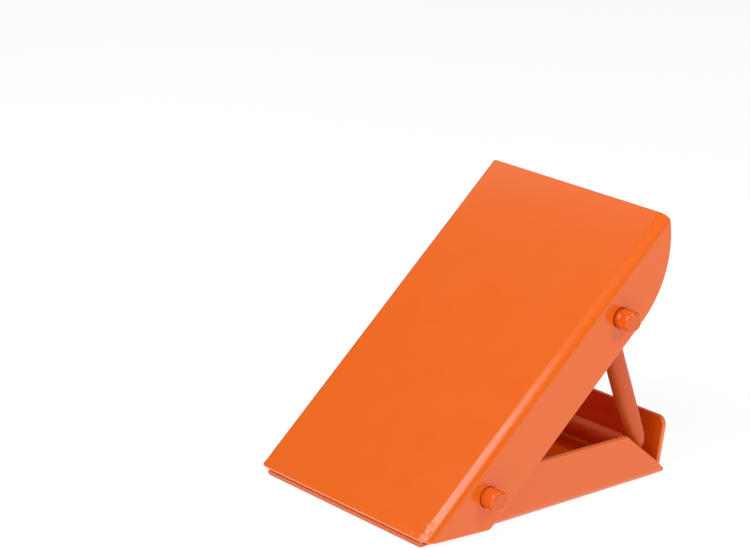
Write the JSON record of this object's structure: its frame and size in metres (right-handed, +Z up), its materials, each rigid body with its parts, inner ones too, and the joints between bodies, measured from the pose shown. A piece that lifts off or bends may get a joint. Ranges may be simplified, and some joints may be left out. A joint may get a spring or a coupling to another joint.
{
  "type": "wheel chock",
  "caption": "Folding wheel chock: sloping channel plate hinged at the toe of a low channel base, propped by a swinging bent-rod strut.",
  "frame": {"origin": "bottom centre of the bounding box, on the ground under the chock", "axes": "+X from the toe to the rear lip, +Y across the chock, +Z up"},
  "size_m": [0.1496, 0.1352, 0.1256],
  "materials": {
    "ramp_paint": "glossy orange paint",
    "base_paint": "glossy orange paint",
    "strut_paint": "glossy orange paint",
    "hinge_paint": "glossy orange paint",
    "washer_steel": "plain steel"
  },
  "bodies": {
    "base": {"base_plate": "base_paint", "hinge_rod": "hinge_paint", "hinge_washer_left": "washer_steel", "hinge_washer_right": "washer_steel"},
    "ramp": {"ramp_plate": "ramp_paint"},
    "strut": {"strut_rod": "strut_paint"}
  },
  "joints": [
    {"name": "ramp_hinge", "type": "hinge", "parent": "base", "child": "ramp", "pos_m": [-0.03883, 0, 0.01673], "axis": [0, 1, 0], "range_deg": [-0.5, 0]},
    {"name": "strut_swing", "type": "hinge", "parent": "ramp", "child": "strut", "pos_m": [0.03788, 0, 0.08228], "axis": [0, 1, 0], "range_deg": [-3, 71]}
  ]
}
